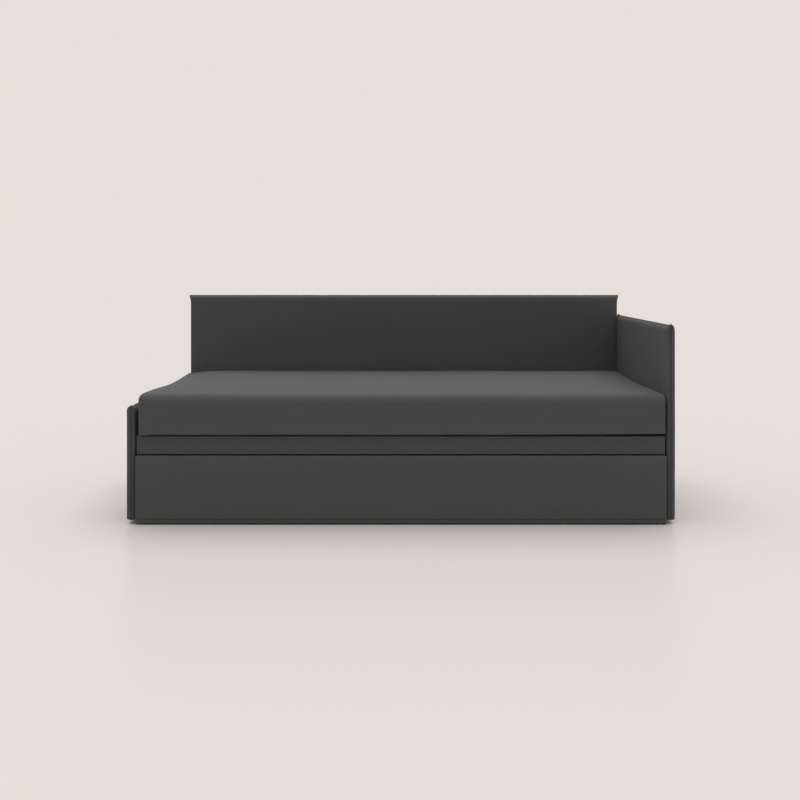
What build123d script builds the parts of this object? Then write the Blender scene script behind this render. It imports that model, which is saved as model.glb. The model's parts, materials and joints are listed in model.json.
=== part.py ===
"""A three-sided daybed sofa that turns into a bunk bed.

The upper bed rises on a scissor at each end, the lower bed rolls out on castors.
X runs along the sofa, the front faces -Y, and Z points up from the floor.
"""

from build123d import *
import math
import os

os.makedirs("parts", exist_ok=True)

# Overall sizes
overall_width = 1979
overall_depth = 866
back_rise = 89
armrest_top = 718
side_top = 425
upper_mattress_height = 151

# Padded panels: a board in a stitched cover with a seam flange round its edge
board_thickness = 18
face_padding = 5
edge_padding = 8
board_clearance = 0.2
edge_round = 9
corner_round = 14
seam_flange = 3
seam_thickness = 2.4
side_setback = 12
back_end_inset = 25.5

# Floor glides
glide_height = 15
glide_radius = 11
glide_stem_radius = 4
glide_stem_length = 20
glide_inset = 40

# Border strip of the upper bed and front panel of the lower bed
strip_drop = 15
strip_height = 67
strip_end_gap = 5.5
front_panel_bottom = 10
front_panel_top_gap = 4
front_panel_end_gap = 3

# Scissor lift
arm_width = 32
arm_thickness = 5
layer_gap = 1.5
lower_pivot_height = 175
closed_rise = 110
pivot_to_back = 26
tube_diameter = 28
tube_wall = 2
shoe_length = 30
shoe_gap = 0.4
shoe_end_gap = 2
shoe_round = 6
shoe_pin_radius = 5
rivet_radius = 6
rivet_head_radius = 11
rivet_head_thickness = 3
pin_clearance = 0.1
washer_radius = 12
running_gap = 0.3
open_angle = 56.8

# Tracks and channels of rolled steel
channel_height = 30
channel_depth = 18
channel_wall = 2.5
track_web_rise = 26
track_front_gap = 6
stop_thickness = 6
stop_gap = 1

# Lower pivot bracket with its stub axle, and the bush on it
pivot_plate_thickness = 6
pivot_plate_length = 70
pivot_plate_height = 84
pivot_plate_back_gap = 1
axle_radius = 10
axle_collar_radius = 15
axle_reach = 60
bush_length = 34

# Bearing rings of the upper bed on the cross tube
ring_radius = 21
ring_width = 24
ring_inset = 26
ring_bush_wall = 3
bush_seat_gap = 0.05
upper_ring_height = 36

# Rails of the two bed frames
rail_thickness = 25
rail_wall = 2
upper_rail_height = 40
upper_rail_drop = 4
upper_rear_gap = 14
lower_rail_height = 30
lower_end_gap = 9.5
lower_rear_gap = 7
cross_rail_width = 20
cross_rail_height = 30
cross_rail_place_share = 0.31

# Slats with their holders
slat_count = 14
slat_width = 68
slat_thickness = 8
holder_width = 76
holder_depth = 21
holder_height = 12
holder_floor = 2
slat_clearance = 0.2

# Mattresses: each station along the end is a share of the corner, with its inset
# and its crown, also as shares
mattress_gap = 0.3
mattress_crown = 7
mattress_bulge = 5
mattress_corner = 24
mattress_base_corner = 8
mattress_end_inset = 16
mattress_end_stations_share = (
    (0, 1, 0.08),
    (0.1, 0.62, 0.1),
    (0.33, 0.29, 0.14),
    (0.63, 0.08, 0.18),
    (1, 0, 0.22),
)
mattress_crown_stations_share = ((0.1, 0.7), (0.3, 1))
upper_mattress_left_gap = 14.5
upper_mattress_right_gap = 6.5
upper_mattress_back_gap = 8
lower_mattress_end_gap = 10
lower_mattress_height = 122
lower_mattress_front_gap = 9
lower_mattress_rear_gap = 3

# Castors of the lower bed
wheel_radius = 22.5
wheel_width = 20
wheel_hub_radius = 9
wheel_hub_width = 22
wheel_bevel = 3
wheel_top_gap = 4
castor_axle_radius = 4
castor_axle_head_radius = 7
castor_axle_head = 2
fork_plate = 3
fork_plate_length = 60
fork_ear_width = 24
fork_ear_thickness = 2.5
fork_ear_gap = 0.5
castor_inset = 31

# Supports on which the closed upper bed rests
rest_plate_thickness = 5
rest_width = 40
rest_height = 45
rest_pad_height = 8
rest_pad_length = 24
rest_place_share = 0.62
front_pad_height = 19.7
front_rest_depth = 24
front_rest_height = 34

# Corner brackets, panel braces and bolts
corner_leg = 30
corner_thickness = 3
corner_bracket_height = 56
corner_bracket_drop = 32
corner_bracket_rise = 5
brace_width_share = 0.59
brace_thickness = 3
brace_height = 110
brace_foot = 18
brace_slat_count = 4
buffer_radius = 10
bolt_radius = 3
bolt_head_radius = 6
bolt_head_height = 3.5
bolt_hole_clearance = 0.15
bolt_bite = 9

# Planes and faces that several pieces share
panel_thickness = board_thickness + 2 * face_padding
half_width = overall_width / 2
back_top = armrest_top + back_rise
side_inner = half_width - panel_thickness
front_y = -overall_depth / 2
back_rear_y = overall_depth / 2 - seam_flange
back_front_y = back_rear_y - panel_thickness
side_front_y = front_y + side_setback
front_panel_rear_y = front_y + panel_thickness
strip_rear_y = side_front_y + panel_thickness
back_left_x = -side_inner + back_end_inset
bolt_hole_radius = bolt_radius + bolt_hole_clearance

# Scissor geometry: both arms of a pair are alike and cross at their middles
pivot_y = back_front_y - pivot_to_back
front_pin_y = strip_rear_y + shoe_end_gap + shoe_length / 2
arm_run = pivot_y - front_pin_y
arm_length = math.hypot(arm_run, closed_rise)
closed_angle = math.degrees(math.asin(closed_rise / arm_length))
upper_pivot_height = lower_pivot_height + closed_rise
crossing_y = (pivot_y + front_pin_y) / 2
crossing_z = (lower_pivot_height + upper_pivot_height) / 2
open_pin_y = pivot_y - arm_length * math.cos(math.radians(open_angle))

# Layers of each scissor, from the side panel inwards
track_inner_x = side_inner - channel_depth
bed_arm_outer_x = track_inner_x - layer_gap
bed_arm_inner_x = bed_arm_outer_x - arm_thickness
base_arm_outer_x = bed_arm_inner_x - layer_gap
base_arm_inner_x = base_arm_outer_x - arm_thickness
channel_outer_x = base_arm_inner_x - rivet_head_thickness
channel_inner_x = channel_outer_x - channel_depth

# Rails, and the border strip and front panel that hang from them
upper_channel_bottom = upper_pivot_height - channel_height / 2
upper_rail_bottom = upper_channel_bottom - upper_rail_drop
upper_rail_top = upper_rail_bottom + upper_rail_height
upper_rear_y = pivot_y - tube_diameter / 2 - upper_rear_gap
strip_bottom = upper_rail_bottom - strip_drop
strip_top = strip_bottom + strip_height
front_panel_top = strip_bottom - front_panel_top_gap
lower_half_length = channel_inner_x - lower_end_gap
fork_plate_bottom = 2 * wheel_radius + wheel_top_gap
lower_rail_bottom = fork_plate_bottom + fork_plate
lower_rail_top = lower_rail_bottom + lower_rail_height
lower_front_y = front_panel_rear_y
lower_rear_y = pivot_y - tube_diameter / 2 - lower_rear_gap

# Bolts in the inner faces of the side panels, as places along Y and Z
track_front_y = front_panel_rear_y + track_front_gap
track_rear_y = open_pin_y + shoe_length / 2 + stop_gap + stop_thickness
track_length = track_rear_y - track_front_y
track_web_top = lower_pivot_height + channel_height / 2 + track_web_rise
track_bolt_places_share = (0.2, 0.5, 0.85)
track_bolts = [
    (track_front_y + track_length * share, track_web_top - track_web_rise / 2)
    for share in track_bolt_places_share
]
pivot_plate_rear_y = back_front_y - pivot_plate_back_gap
pivot_plate_y = pivot_plate_rear_y - pivot_plate_length / 2
pivot_bolt_reach = pivot_plate_height / 2 - 2 * bolt_head_radius
pivot_bolts = [(pivot_plate_y, lower_pivot_height + sign * pivot_bolt_reach) for sign in (-1, 1)]
corner_bracket_bottoms = (
    lower_pivot_height - pivot_plate_height / 2 - corner_bracket_drop - corner_bracket_height,
    lower_pivot_height + pivot_plate_height / 2 + corner_bracket_rise,
)
corner_bolt_shares = (0.25, 0.75)
corner_bolt_heights = [
    bottom + corner_bracket_height * share
    for bottom in corner_bracket_bottoms
    for share in corner_bolt_shares
]
corner_bolts = [(back_front_y - corner_leg / 2, height) for height in corner_bolt_heights]
front_rest_y = strip_rear_y + stop_gap + front_rest_depth / 2
front_pad_top = upper_channel_bottom - running_gap
front_rest_top = front_pad_top - front_pad_height
front_rest_bolts = [(front_rest_y, front_rest_top - front_rest_height / 2)]
side_bolts = track_bolts + pivot_bolts + corner_bolts + front_rest_bolts

# Bolts in the back panel, the border strip and the front panel, along X and Z
rest_places = [side_inner * share for share in (-rest_place_share, 0, rest_place_share)]
rest_top = upper_rail_bottom - running_gap - rest_pad_height
rest_bolts = [(place, rest_top - rest_height / 2) for place in rest_places]
corner_back_x = side_inner - corner_leg / 2
corner_back_bolts = [(corner_back_x, height) for height in corner_bolt_heights]
strip_bolts = [(place, upper_rail_bottom + upper_rail_height / 2) for place in rest_places]
panel_bolts = [(place, lower_rail_bottom + lower_rail_height / 2) for place in rest_places]
lower_slat_pitch = (2 * lower_half_length - 2 * holder_width) / (slat_count - 1)
upper_slat_pitch = (2 * channel_inner_x - 2 * holder_width) / (slat_count - 1)
brace_x = lower_slat_pitch * brace_slat_count
brace_width = (lower_slat_pitch - holder_width) * brace_width_share
brace_bolt_shares = (0.4, 0.85)
brace_bolts = [
    (sign * brace_x, lower_rail_top + brace_height * share)
    for sign in (-1, 1)
    for share in brace_bolt_shares
]


def save(piece, name):
    """Name a finished piece and write it to its own file."""
    piece.part.label = name
    export_step(piece.part, f"parts/{name}.step")


def save_sides(right_piece, name):
    """Write a right-hand piece and its mirror image at the left."""
    with BuildPart() as left_piece:
        mirror(right_piece.part, about=Plane.YZ)
    save(right_piece, f"{name}_right")
    save(left_piece, f"{name}_left")


def rail_along_x(y_low, z_low, height, half_length):
    """Make a square-edged steel tube along X."""
    middle = (y_low + rail_thickness / 2, z_low + height / 2)
    with BuildPart() as rail:
        with BuildSketch(Plane.YZ):
            with Locations(middle):
                RectangleRounded(rail_thickness, height, rail_wall)
                Rectangle(rail_thickness - 2 * rail_wall, height - 2 * rail_wall, mode=Mode.SUBTRACT)
        extrude(amount=half_length, both=True)
    return rail


def rails_along_y(x_middle, z_low, width, height, y_low, y_high):
    """Make a pair of steel tubes along Y, one on each side of the middle."""
    with BuildPart() as rails:
        with BuildSketch(Plane.XZ.offset(-y_low)):
            with Locations((x_middle, z_low + height / 2)):
                RectangleRounded(width, height, rail_wall)
                Rectangle(width - 2 * rail_wall, height - 2 * rail_wall, mode=Mode.SUBTRACT)
        extrude(amount=y_low - y_high)
        mirror(about=Plane.YZ)
    return rails


def padded_cover(plane, low, high, holes, flanges=None):
    """Make a stitched cover with the pocket for its board, open below.

    low and high are the outer corners of the padding in the plane, whose normal points
    away from the drilled face. flanges says whether the seam flange stands out at the
    low end, the high end and the top.
    """
    width = high[0] - low[0]
    middle_x = (low[0] + high[0]) / 2
    normal = Axis(plane.origin, plane.z_dir)
    pocket_width = width - 2 * edge_padding + 2 * board_clearance
    pocket_top = high[1] - edge_padding + board_clearance
    with BuildPart() as cover:
        with BuildSketch(plane):
            with Locations((middle_x, (low[1] + high[1]) / 2)):
                Rectangle(width, high[1] - low[1])
        extrude(amount=panel_thickness)
        fillet(cover.edges().filter_by(normal).group_by(Axis.Z)[-1], corner_round)
        rims = cover.faces().filter_by(normal).edges()
        fillet([rim for rim in rims if rim.center().Z > low[1] + board_clearance], edge_round)
        if flanges:
            flange_low = low[0] - seam_flange * flanges[0]
            flange_high = high[0] + seam_flange * flanges[1]
            flange_top = high[1] + seam_flange * flanges[2]
            with BuildSketch(plane.offset(panel_thickness / 2)):
                with Locations(((flange_low + flange_high) / 2, (low[1] + flange_top) / 2)):
                    Rectangle(flange_high - flange_low, flange_top - low[1])
            extrude(amount=seam_thickness / 2, both=True)
        with BuildSketch(plane.offset(panel_thickness / 2)):
            with Locations((middle_x, (low[1] + pocket_top) / 2)):
                Rectangle(pocket_width, pocket_top - low[1])
        extrude(amount=board_thickness / 2 + board_clearance, both=True, mode=Mode.SUBTRACT)
        with BuildSketch(plane):
            with Locations(holes):
                Circle(bolt_hole_radius)
        extrude(amount=face_padding, mode=Mode.SUBTRACT)
    return cover


def padded_board(plane, low, high, holes, glide_stems=()):
    """Make the board that fills a cover, drilled for its bolts and glide stems."""
    width = high[0] - low[0] - 2 * edge_padding
    height = high[1] - edge_padding - low[1]
    with BuildPart() as board:
        with BuildSketch(plane.offset(face_padding)):
            with Locations(((low[0] + high[0]) / 2, low[1] + height / 2)):
                Rectangle(width, height)
        extrude(amount=board_thickness)
        with BuildSketch(plane.offset(face_padding)):
            with Locations(holes):
                Circle(bolt_hole_radius)
        extrude(amount=bolt_bite + bolt_hole_clearance, mode=Mode.SUBTRACT)
        for place in glide_stems:
            with BuildSketch(Plane.XY.offset(low[1])):
                with Locations(place):
                    Circle(glide_stem_radius + bolt_hole_clearance)
            extrude(amount=glide_stem_length + bolt_hole_clearance, mode=Mode.SUBTRACT)
    return board


# The four padded panels that stand still. A side panel is made at the right.
side_plane = Plane(origin=(side_inner, 0, 0), x_dir=(0, 1, 0), z_dir=(1, 0, 0))
side_low = (side_front_y, glide_height)
side_middle_x = side_inner + panel_thickness / 2
side_glides = [
    (side_middle_x, side_front_y + glide_inset),
    (side_middle_x, back_rear_y - glide_inset),
]
armrest_high = (back_rear_y, armrest_top - seam_flange)
low_side_high = (back_rear_y, side_top - seam_flange)
save(padded_cover(side_plane, side_low, armrest_high, side_bolts, (1, 1, 1)), "armrest_cover")
save(padded_board(side_plane, side_low, armrest_high, side_bolts, side_glides), "armrest_board")
with BuildPart() as low_side_cover:
    mirror(
        padded_cover(side_plane, side_low, low_side_high, side_bolts, (1, 1, 1)).part,
        about=Plane.YZ,
    )
save(low_side_cover, "low_side_cover")
with BuildPart() as low_side_board:
    mirror(
        padded_board(side_plane, side_low, low_side_high, side_bolts, side_glides).part,
        about=Plane.YZ,
    )
save(low_side_board, "low_side_board")

# Back panel: its plane looks backwards, so its first axis runs to the left
back_plane = Plane(origin=(0, back_front_y, 0), x_dir=(-1, 0, 0), z_dir=(0, 1, 0))
back_low = (-side_inner, glide_height)
back_high = (-back_left_x, back_top - seam_flange)
back_bolts = [(-x, z) for x, z in rest_bolts + corner_back_bolts]
back_middle_y = back_front_y + panel_thickness / 2
back_glides = [(x, back_middle_y) for x in (rest_places[0], rest_places[-1])]
flange_foot = armrest_top + running_gap
with BuildPart() as back_cover:
    add(padded_cover(back_plane, back_low, back_high, back_bolts, (0, 1, 1)).part)
    with BuildSketch(back_plane.offset(panel_thickness / 2)):
        with Locations((-side_inner - seam_flange, flange_foot)):
            Rectangle(
                seam_flange + edge_padding,
                back_top - flange_foot,
                align=(Align.MIN, Align.MIN),
            )
    extrude(amount=seam_thickness / 2, both=True)
save(back_cover, "back_cover")
save(padded_board(back_plane, back_low, back_high, back_bolts, back_glides), "back_board")

# Batten between the low side panel and the end of the back panel
batten_width = back_end_inset - seam_flange - running_gap
batten_high = low_side_high[1] - edge_padding
with BuildPart() as corner_batten:
    with BuildSketch(back_plane):
        with Locations((side_inner - batten_width / 2, (glide_height + batten_high) / 2)):
            Rectangle(batten_width, batten_high - glide_height)
    extrude(amount=panel_thickness)
    with BuildSketch(back_plane):
        with Locations(corner_back_bolts):
            Circle(bolt_hole_radius)
    extrude(amount=face_padding + bolt_bite + bolt_hole_clearance, mode=Mode.SUBTRACT)
save(corner_batten, "corner_batten")

# Floor glides: a foot with a stem that is driven into the board above it
glide_places = side_glides + [(-x, y) for x, y in side_glides] + back_glides
with BuildPart() as floor_glides:
    with BuildSketch():
        with Locations(glide_places):
            Circle(glide_radius)
    extrude(amount=glide_height)
    with BuildSketch(Plane.XY.offset(glide_height)):
        with Locations(glide_places):
            Circle(glide_stem_radius)
    extrude(amount=glide_stem_length)
save(floor_glides, "floor_glides")

# Lower tracks: a channel open inwards, with a tall web that is bolted to the side
track_bottom = lower_pivot_height - channel_height / 2
with BuildPart() as lower_track:
    with BuildSketch(Plane.XZ.offset(-track_front_y)):
        with Locations((side_inner, track_bottom)):
            Rectangle(channel_depth, channel_height, align=(Align.MAX, Align.MIN))
            Rectangle(channel_wall, track_web_top - track_bottom, align=(Align.MAX, Align.MIN))
        with Locations((side_inner - channel_wall, lower_pivot_height)):
            Rectangle(
                channel_depth,
                channel_height - 2 * channel_wall,
                align=(Align.MAX, Align.CENTER),
                mode=Mode.SUBTRACT,
            )
    extrude(amount=-track_length)
    with BuildSketch(side_plane.offset(-channel_wall)):
        with Locations(track_bolts):
            Circle(bolt_hole_radius)
    extrude(amount=channel_wall, mode=Mode.SUBTRACT)
save_sides(lower_track, "lower_track")

# Rubber stops at both ends of each lower track
stop_middles = (track_front_y + stop_thickness / 2, track_rear_y - stop_thickness / 2)
stop_height = channel_height - 2 * channel_wall
stop_depth = channel_depth - channel_wall
with BuildPart() as track_stops:
    with BuildSketch(side_plane.offset(-channel_wall)):
        with Locations([(y, lower_pivot_height) for y in stop_middles]):
            Rectangle(stop_thickness, stop_height)
    extrude(amount=-stop_depth)
    mirror(about=Plane.YZ)
save(track_stops, "track_stops")

# Lower pivot brackets: a bolted plate with a shouldered stub axle
pivot_centre = (pivot_y, lower_pivot_height)
axle_end_x = side_inner - axle_reach
collar_end_x = base_arm_outer_x + running_gap
with BuildPart() as pivot_brackets:
    with BuildSketch(side_plane.offset(-pivot_plate_thickness)):
        with Locations((pivot_plate_y, lower_pivot_height)):
            RectangleRounded(pivot_plate_length, pivot_plate_height, corner_thickness)
        with Locations(pivot_bolts):
            Circle(bolt_hole_radius, mode=Mode.SUBTRACT)
    extrude(amount=pivot_plate_thickness)
    with BuildSketch(Plane.YZ.offset(collar_end_x)):
        with Locations(pivot_centre):
            Circle(axle_collar_radius)
    extrude(amount=side_inner - pivot_plate_thickness - collar_end_x)
    with BuildSketch(Plane.YZ.offset(axle_end_x)):
        with Locations(pivot_centre):
            Circle(axle_radius)
    extrude(amount=collar_end_x - axle_end_x)
    mirror(about=Plane.YZ)
save(pivot_brackets, "pivot_brackets")

# Rear rest brackets: angles on the back panel that carry the closed upper bed
rest_reach = back_front_y - (upper_rear_y - rail_thickness)
with BuildPart() as rear_rest_brackets:
    with BuildSketch(Plane.YZ):
        with Locations((back_front_y, rest_top)):
            Rectangle(rest_reach, rest_plate_thickness, align=(Align.MAX, Align.MAX))
            Rectangle(rest_plate_thickness, rest_height, align=(Align.MAX, Align.MAX))
    extrude(amount=rest_width / 2, both=True)
    with BuildSketch(back_plane.offset(-rest_plate_thickness)):
        with Locations((0, rest_bolts[0][1])):
            Circle(bolt_hole_radius)
    extrude(amount=rest_plate_thickness, mode=Mode.SUBTRACT)
    first_rest = rear_rest_brackets.part
    with Locations([(x, 0, 0) for x in (rest_places[0], rest_places[-1])]):
        add(first_rest)
save(rear_rest_brackets, "rear_rest_brackets")

# Front rest brackets: angles on the side panels, under the ends of the upper bed
front_rest_reach = side_inner - channel_inner_x
with BuildPart() as front_rest_brackets:
    with BuildSketch(Plane.XZ.offset(-front_rest_y)):
        with Locations((side_inner, front_rest_top)):
            Rectangle(front_rest_reach, rest_plate_thickness, align=(Align.MAX, Align.MAX))
            Rectangle(rest_plate_thickness, front_rest_height, align=(Align.MAX, Align.MAX))
    extrude(amount=front_rest_depth / 2, both=True)
    with BuildSketch(side_plane.offset(-rest_plate_thickness)):
        with Locations(front_rest_bolts):
            Circle(bolt_hole_radius)
    extrude(amount=rest_plate_thickness, mode=Mode.SUBTRACT)
    mirror(about=Plane.YZ)
save(front_rest_brackets, "front_rest_brackets")

# Rubber pads on all the rest brackets
front_pad_x = (channel_inner_x + channel_outer_x) / 2
with BuildPart() as rest_pads:
    with BuildSketch(Plane.XY.offset(rest_top)):
        with Locations([(x, upper_rear_y - rail_thickness / 2) for x in rest_places]):
            Rectangle(rest_width, rest_pad_length)
    extrude(amount=rest_pad_height)
    with BuildSketch(Plane.XY.offset(front_rest_top)):
        with Locations([(sign * front_pad_x, front_rest_y) for sign in (-1, 1)]):
            Rectangle(channel_depth - 2 * stop_gap, front_rest_depth)
    extrude(amount=front_pad_top - front_rest_top)
save(rest_pads, "rest_pads")

# Corner brackets between the side panels and the back
with BuildPart() as corner_brackets:
    for bottom in corner_bracket_bottoms:
        with BuildSketch(Plane.XY.offset(bottom)):
            with Locations((side_inner, back_front_y)):
                Rectangle(corner_leg, corner_thickness, align=(Align.MAX, Align.MAX))
                Rectangle(corner_thickness, corner_leg, align=(Align.MAX, Align.MAX))
        extrude(amount=corner_bracket_height)
    with BuildSketch(side_plane.offset(-corner_thickness)):
        with Locations(corner_bolts):
            Circle(bolt_hole_radius)
    extrude(amount=corner_thickness, mode=Mode.SUBTRACT)
    with BuildSketch(back_plane.offset(-corner_thickness)):
        with Locations([(-x, z) for x, z in corner_back_bolts]):
            Circle(bolt_hole_radius)
    extrude(amount=corner_thickness, mode=Mode.SUBTRACT)
    mirror(about=Plane.YZ)
save(corner_brackets, "corner_brackets")


def bolts(plane, places, grip, depth):
    """Make bolts whose heads seat on a plate of the given grip above the plane."""
    with BuildPart() as group:
        with BuildSketch(plane.offset(-grip)):
            with Locations(places):
                Circle(bolt_radius)
        extrude(amount=grip + depth)
        with BuildSketch(plane.offset(-grip)):
            with Locations(places):
                RegularPolygon(bolt_head_radius, 6)
        extrude(amount=-bolt_head_height)
    return group.part


bolt_depth = face_padding + bolt_bite
side_bolt_groups = (
    (track_bolts, channel_wall),
    (pivot_bolts, pivot_plate_thickness),
    (corner_bolts, corner_thickness),
    (front_rest_bolts, rest_plate_thickness),
)
with BuildPart() as base_bolts:
    for places, grip in side_bolt_groups:
        add(bolts(side_plane, places, grip, bolt_depth))
    add(bolts(back_plane, [(-x, z) for x, z in corner_back_bolts], corner_thickness, bolt_depth))
    mirror(about=Plane.YZ)
    add(bolts(back_plane, [(-x, z) for x, z in rest_bolts], rest_plate_thickness, bolt_depth))
save(base_bolts, "base_bolts")


def scissor_arm(inner_x, rise_sign, rear_hole_radius, pin_start_x, pin_end_x):
    """Make one flat arm at the right as it lies when closed, with its welded shoe pin."""
    with BuildPart() as arm:
        with BuildSketch(Plane.YZ.offset(inner_x)):
            with Locations((crossing_y, crossing_z)):
                SlotCenterToCenter(arm_length, arm_width, rotation=rise_sign * closed_angle)
            with Locations((crossing_y, crossing_z)):
                Circle(rivet_radius + pin_clearance, mode=Mode.SUBTRACT)
            if rear_hole_radius:
                with Locations((pivot_y, crossing_z + rise_sign * closed_rise / 2)):
                    Circle(rear_hole_radius, mode=Mode.SUBTRACT)
        extrude(amount=arm_thickness)
        with BuildSketch(Plane.YZ.offset(pin_start_x)):
            with Locations((front_pin_y, crossing_z - rise_sign * closed_rise / 2)):
                Circle(shoe_pin_radius)
        extrude(amount=pin_end_x - pin_start_x)
    return arm


def cross_tube(height, half_length):
    """Make the round tube that joins the left and right arm of one kind."""
    with BuildPart() as tube:
        with BuildSketch(Plane.YZ):
            with Locations((pivot_y, height)):
                Circle(tube_diameter / 2)
                Circle(tube_diameter / 2 - tube_wall, mode=Mode.SUBTRACT)
        extrude(amount=half_length, both=True)
    return tube


def ring_pair(y, z, start_x, end_x, radius, bore):
    """Make a bush or washer between two places along X, with its mirror image."""
    with BuildPart() as pair:
        with BuildSketch(Plane.YZ.offset(start_x)):
            with Locations((y, z)):
                Circle(radius)
                Circle(bore, mode=Mode.SUBTRACT)
        extrude(amount=end_x - start_x)
        mirror(about=Plane.YZ)
    return pair


# Base arms turn on the stub axles and carry the front of the bed
tube_bore_radius = tube_diameter / 2 - tube_wall
base_shoe_inner_x = channel_inner_x + channel_wall + shoe_gap
base_shoe_outer_x = base_arm_inner_x - running_gap
base_arm = scissor_arm(
    base_arm_inner_x, -1, tube_bore_radius, base_shoe_inner_x, base_arm_inner_x
)
save_sides(base_arm, "base_arm")
save(cross_tube(lower_pivot_height, base_arm_inner_x), "torsion_tube")
save(
    ring_pair(
        pivot_y,
        lower_pivot_height,
        base_arm_outer_x - bush_length,
        base_arm_outer_x,
        tube_bore_radius - bush_seat_gap,
        axle_radius + pin_clearance,
    ),
    "pivot_bushes",
)

# Bed arms slide along the lower tracks and carry the rear of the bed
bed_shoe_inner_x = bed_arm_outer_x + running_gap
bed_shoe_outer_x = side_inner - channel_wall - shoe_gap
save_sides(scissor_arm(bed_arm_inner_x, 1, 0, bed_arm_outer_x, bed_shoe_outer_x), "bed_arm")
save(cross_tube(upper_pivot_height, bed_arm_inner_x), "bed_cross_tube")

# Rivets where the arms cross, and the washers between the arms
rivet_inner_x = base_arm_inner_x - rivet_head_thickness
rivet_outer_x = bed_arm_outer_x + running_gap
with BuildPart() as crossing_rivets:
    with BuildSketch(Plane.YZ.offset(rivet_inner_x)):
        with Locations((crossing_y, crossing_z)):
            Circle(rivet_head_radius)
    extrude(amount=rivet_head_thickness)
    with BuildSketch(Plane.YZ.offset(base_arm_inner_x)):
        with Locations((crossing_y, crossing_z)):
            Circle(rivet_radius)
    extrude(amount=rivet_outer_x - base_arm_inner_x)
    with BuildSketch(Plane.YZ.offset(rivet_outer_x)):
        with Locations((crossing_y, crossing_z)):
            Circle(rivet_head_radius)
    extrude(amount=rivet_head_thickness)
    mirror(about=Plane.YZ)
save(crossing_rivets, "crossing_rivets")
save(
    ring_pair(
        crossing_y,
        crossing_z,
        base_arm_outer_x,
        bed_arm_inner_x - running_gap,
        washer_radius,
        rivet_radius + pin_clearance,
    ),
    "arm_washers",
)


def slide_shoes(height, inner_x, outer_x):
    """Make the two sliding shoes at one height, bored for their pins."""
    shoe_height = channel_height - 2 * channel_wall - 2 * shoe_gap
    with BuildPart() as shoes:
        with BuildSketch(Plane.YZ.offset(inner_x)):
            with Locations((front_pin_y, height)):
                RectangleRounded(shoe_length, shoe_height, shoe_round)
                Circle(shoe_pin_radius + pin_clearance, mode=Mode.SUBTRACT)
        extrude(amount=outer_x - inner_x)
        mirror(about=Plane.YZ)
    return shoes


save(slide_shoes(upper_pivot_height, base_shoe_inner_x, base_shoe_outer_x), "upper_slide_shoes")
save(slide_shoes(lower_pivot_height, bed_shoe_inner_x, bed_shoe_outer_x), "lower_slide_shoes")

# Rails of the upper bed. The front rail is drilled through for the strip's bolts.
front_rail = rail_along_x(strip_rear_y, upper_rail_bottom, upper_rail_height, channel_inner_x)
with BuildPart() as upper_front_rail:
    add(front_rail.part)
    with BuildSketch(Plane.XZ.offset(-strip_rear_y)):
        with Locations(strip_bolts):
            Circle(bolt_hole_radius)
    extrude(amount=-rail_thickness, mode=Mode.SUBTRACT)
save(upper_front_rail, "upper_front_rail")
upper_rear_rail_y = upper_rear_y - rail_thickness
save(
    rail_along_x(upper_rear_rail_y, upper_rail_bottom, upper_rail_height, channel_inner_x),
    "upper_rear_rail",
)
upper_cross_rails = rails_along_y(
    channel_inner_x * cross_rail_place_share,
    upper_rail_top - cross_rail_height,
    cross_rail_width,
    cross_rail_height,
    strip_rear_y + rail_thickness,
    upper_rear_rail_y,
)
save(upper_cross_rails, "upper_cross_rails")

# End channels of the upper bed, open outwards for the shoes of the base arms
with BuildPart() as end_channel:
    with BuildSketch(Plane.XZ.offset(-strip_rear_y)):
        with Locations((channel_inner_x, upper_pivot_height)):
            Rectangle(channel_depth, channel_height, align=(Align.MIN, Align.CENTER))
        with Locations((channel_inner_x + channel_wall, upper_pivot_height)):
            Rectangle(
                channel_depth,
                channel_height - 2 * channel_wall,
                align=(Align.MIN, Align.CENTER),
                mode=Mode.SUBTRACT,
            )
    extrude(amount=strip_rear_y - upper_rear_y)
save_sides(end_channel, "end_channel")
with BuildPart() as channel_stops:
    with BuildSketch(Plane.YZ.offset(channel_inner_x + channel_wall)):
        with Locations((stop_middles[-1], upper_pivot_height)):
            Rectangle(stop_thickness, stop_height)
    extrude(amount=stop_depth)
    mirror(about=Plane.YZ)
save(channel_stops, "channel_stops")

# Bearing rings behind the rear rail, with the bushes that turn on the cross tube
ring_bore = tube_diameter / 2 + pin_clearance
ring_start_x = channel_inner_x - ring_inset - ring_width
ring_bush_radius = ring_bore + ring_bush_wall
with BuildPart() as bearing_rings:
    with BuildSketch(Plane.YZ.offset(ring_start_x)):
        with Locations((pivot_y, upper_pivot_height)):
            Circle(ring_radius)
        with Locations((upper_rear_y, upper_pivot_height)):
            Rectangle(pivot_y - upper_rear_y, upper_ring_height, align=(Align.MIN, Align.CENTER))
        with Locations((pivot_y, upper_pivot_height)):
            Circle(ring_bush_radius + bush_seat_gap, mode=Mode.SUBTRACT)
    extrude(amount=ring_width)
    mirror(about=Plane.YZ)
save(bearing_rings, "bearing_rings")
save(
    ring_pair(
        pivot_y,
        upper_pivot_height,
        ring_start_x,
        ring_start_x + ring_width,
        ring_bush_radius,
        ring_bore,
    ),
    "ring_bushes",
)


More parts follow.
